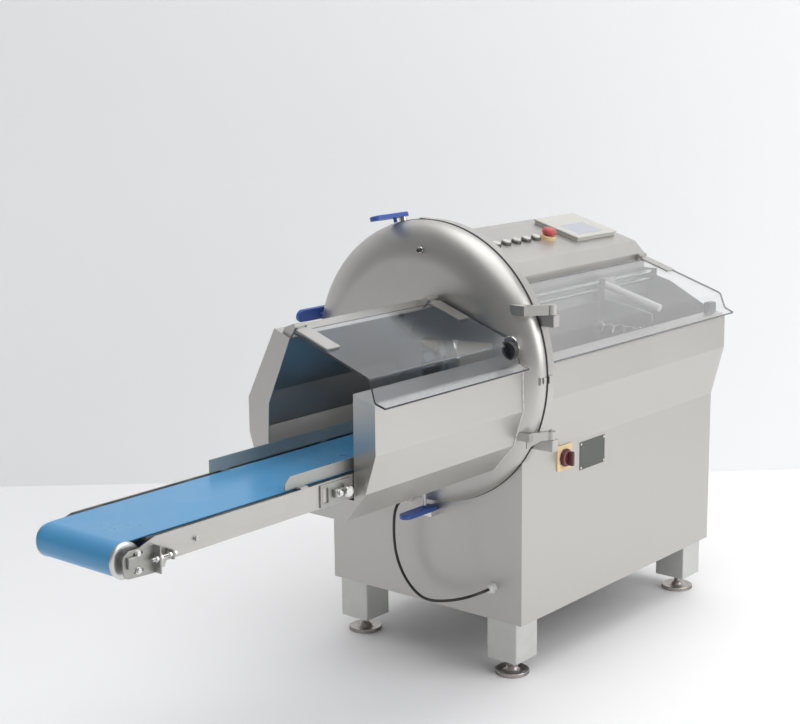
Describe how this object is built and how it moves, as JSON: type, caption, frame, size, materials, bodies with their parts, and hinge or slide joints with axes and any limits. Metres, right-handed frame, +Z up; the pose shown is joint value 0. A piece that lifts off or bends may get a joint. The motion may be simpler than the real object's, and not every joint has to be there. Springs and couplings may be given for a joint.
{
  "type": "portion slicer",
  "caption": "Stainless portion slicer with a hinged drum door, sickle blade, feed trough with clear lid, and an outfeed belt conveyor under a folded hood.",
  "frame": {"origin": "middle of the machine's footprint box on the floor, below the conveyor's inner end", "axes": "+X from the conveyor's nose to the infeed end, +Z up, the operator's side with the drum door's hinge faces -Y"},
  "size_m": [2.337, 0.8015, 1.2496],
  "materials": {
    "blasted_steel": "satin, glass-bead blasted",
    "brushed_steel": "brushed",
    "bright_steel": "polished",
    "aluminium": "machined",
    "cast_iron": "painted",
    "clear_sheet": "clear",
    "tinted_sheet": "smoked",
    "belt_blue": "satin",
    "black_rubber": "matt",
    "black_plastic": "matt",
    "blue_plastic": "matt",
    "white_plastic": "gloss",
    "grey_plastic": "satin",
    "screen": "glossy",
    "yellow_plastic": "gloss",
    "red_plastic": "gloss"
  },
  "bodies": {
    "cabinet": {"cabinet_shell": "blasted_steel", "roof_console": "blasted_steel", "base_frame": "blasted_steel", "leg_posts": "blasted_steel", "levelling_feet": "bright_steel", "drum_housing": "brushed_steel", "door_gasket": "black_rubber", "shear_frame": "white_plastic", "bearing_housing": "cast_iron", "shaft_bearings": "bright_steel", "drive_motor": "cast_iron", "motor_bracket": "blasted_steel", "drive_belt": "black_rubber", "feed_trough": "brushed_steel", "guide_rods": "bright_steel", "hinge_brackets": "brushed_steel", "clamp_posts": "bright_steel", "infeed_hinge_lugs": "brushed_steel", "safety_switches": "black_plastic", "main_switch_plate": "yellow_plastic", "cable_glands": "white_plastic", "conveyor_cable": "black_rubber", "button_bezels": "bright_steel", "estop_base": "yellow_plastic", "hmi_housing": "grey_plastic", "hmi_screen": "screen"},
    "blade": {"blade_shaft": "bright_steel", "sickle_blade": "bright_steel", "blade_hub": "bright_steel", "shaft_pulley": "aluminium"},
    "motor_rotor": {"motor_pulley": "aluminium"},
    "door": {"outfeed_door": "brushed_steel", "hinge_arms": "brushed_steel", "outfeed_hood": "blasted_steel", "hood_hinge_lugs": "brushed_steel", "conveyor_frame": "brushed_steel", "guide_plates": "brushed_steel", "conveyor_belt": "belt_blue", "conveyor_fittings": "bright_steel"},
    "hood_cover": {"hood_lid": "tinted_sheet", "hood_lid_straps": "brushed_steel", "hood_lid_knob": "black_plastic"},
    "nose_roll": {"nose_roller": "aluminium"},
    "drive_roll": {"drive_roller": "bright_steel"},
    "infeed_cover": {"infeed_lid": "clear_sheet", "infeed_lid_straps": "brushed_steel"},
    "gripper": {"gripper_carriage": "brushed_steel", "gripper_bar": "white_plastic"},
    "claws": {"gripper_claws": "bright_steel"},
    "estop": {"estop_head": "red_plastic"},
    "switch_knob": {"main_switch_knob": "red_plastic"},
    "clamp_top": {"clamp_handle_top": "blue_plastic"},
    "clamp_back": {"clamp_handle_back": "blue_plastic"},
    "clamp_bottom": {"clamp_handle_bottom": "blue_plastic"},
    "button_1": {"push_button_1": "bright_steel"},
    "button_2": {"push_button_2": "bright_steel"},
    "button_3": {"push_button_3": "bright_steel"},
    "button_4": {"push_button_4": "bright_steel"},
    "button_5": {"push_button_5": "bright_steel"}
  },
  "joints": [
    {"name": "door_swing", "type": "hinge", "parent": "cabinet", "child": "door", "pos_m": [0.1835, -0.389, 0.86], "axis": [0, 0, 1], "range_deg": [0, 110]},
    {"name": "blade_spin", "type": "hinge", "parent": "cabinet", "child": "blade", "pos_m": [0.1685, -0.001, 0.8504], "axis": [1, 0, 0], "continuous": true},
    {"name": "motor_spin", "type": "hinge", "parent": "cabinet", "child": "motor_rotor", "pos_m": [0.3835, 0.059, 0.48], "axis": [1, 0, 0], "continuous": true},
    {"name": "hood_lid_hinge", "type": "hinge", "parent": "door", "child": "hood_cover", "pos_m": [-0.1815, -0.091, 1.0443], "axis": [-1, 0, 0], "range_deg": [0, 100]},
    {"name": "infeed_lid_hinge", "type": "hinge", "parent": "cabinet", "child": "infeed_cover", "pos_m": [0.6865, -0.067, 1.04], "axis": [-1, 0, 0], "range_deg": [0, 100]},
    {"name": "drive_roller_spin", "type": "hinge", "parent": "door", "child": "drive_roll", "pos_m": [0.0385, -0.143, 0.696], "axis": [0, 1, 0], "continuous": true},
    {"name": "nose_roller_spin", "type": "hinge", "parent": "door", "child": "nose_roll", "pos_m": [-1.1295, -0.143, 0.683], "axis": [0, 1, 0], "continuous": true},
    {"name": "gripper_slide", "type": "slide", "parent": "cabinet", "child": "gripper", "axis": [1, 0, 0], "range_m": [-0.6, 0.2]},
    {"name": "gripper_claw_hinge", "type": "hinge", "parent": "gripper", "child": "claws", "pos_m": [0.8545, -0.181, 0.868], "axis": [0, 1, 0], "range_deg": [0, 30]},
    {"name": "estop_press", "type": "slide", "parent": "cabinet", "child": "estop", "axis": [0, 0.2717, -0.9624], "range_m": [0, 0.0045], "stiffness_N_per_m": 800, "springref_m": -0.003},
    {"name": "main_switch_turn", "type": "hinge", "parent": "cabinet", "child": "switch_knob", "pos_m": [0.3655, -0.321, 0.591], "axis": [0, -1, 0], "range_deg": [0, 90]},
    {"name": "clamp_top_turn", "type": "hinge", "parent": "cabinet", "child": "clamp_top", "pos_m": [0.1865, 0.10696, 1.23971], "axis": [0, 0.2672, 0.9636], "range_deg": [0, 90]},
    {"name": "clamp_back_turn", "type": "hinge", "parent": "cabinet", "child": "clamp_back", "pos_m": [0.1865, 0.391, 0.94814], "axis": [0, -0.9703, -0.2419], "range_deg": [0, 90]},
    {"name": "clamp_bottom_turn", "type": "hinge", "parent": "cabinet", "child": "clamp_bottom", "pos_m": [0.1505, -0.015, 0.447], "axis": [0, 0, 1], "range_deg": [0, 90]},
    {"name": "button_1_press", "type": "slide", "parent": "cabinet", "child": "button_1", "axis": [0, 0.2717, -0.9624], "range_m": [0, 0.003], "stiffness_N_per_m": 400, "springref_m": -0.003},
    {"name": "button_2_press", "type": "slide", "parent": "cabinet", "child": "button_2", "axis": [0, 0.2717, -0.9624], "range_m": [0, 0.003], "stiffness_N_per_m": 400, "springref_m": -0.003},
    {"name": "button_3_press", "type": "slide", "parent": "cabinet", "child": "button_3", "axis": [0, 0.2717, -0.9624], "range_m": [0, 0.003], "stiffness_N_per_m": 400, "springref_m": -0.003},
    {"name": "button_4_press", "type": "slide", "parent": "cabinet", "child": "button_4", "axis": [0, 0.2717, -0.9624], "range_m": [0, 0.003], "stiffness_N_per_m": 400, "springref_m": -0.003},
    {"name": "button_5_press", "type": "slide", "parent": "cabinet", "child": "button_5", "axis": [0, 0.2717, -0.9624], "range_m": [0, 0.003], "stiffness_N_per_m": 400, "springref_m": -0.003}
  ],
  "couplings": [
    {"joint": "motor_spin", "follows": "blade_spin", "ratio": 1.3333},
    {"joint": "nose_roller_spin", "follows": "drive_roller_spin", "ratio": 0.6317}
  ]
}
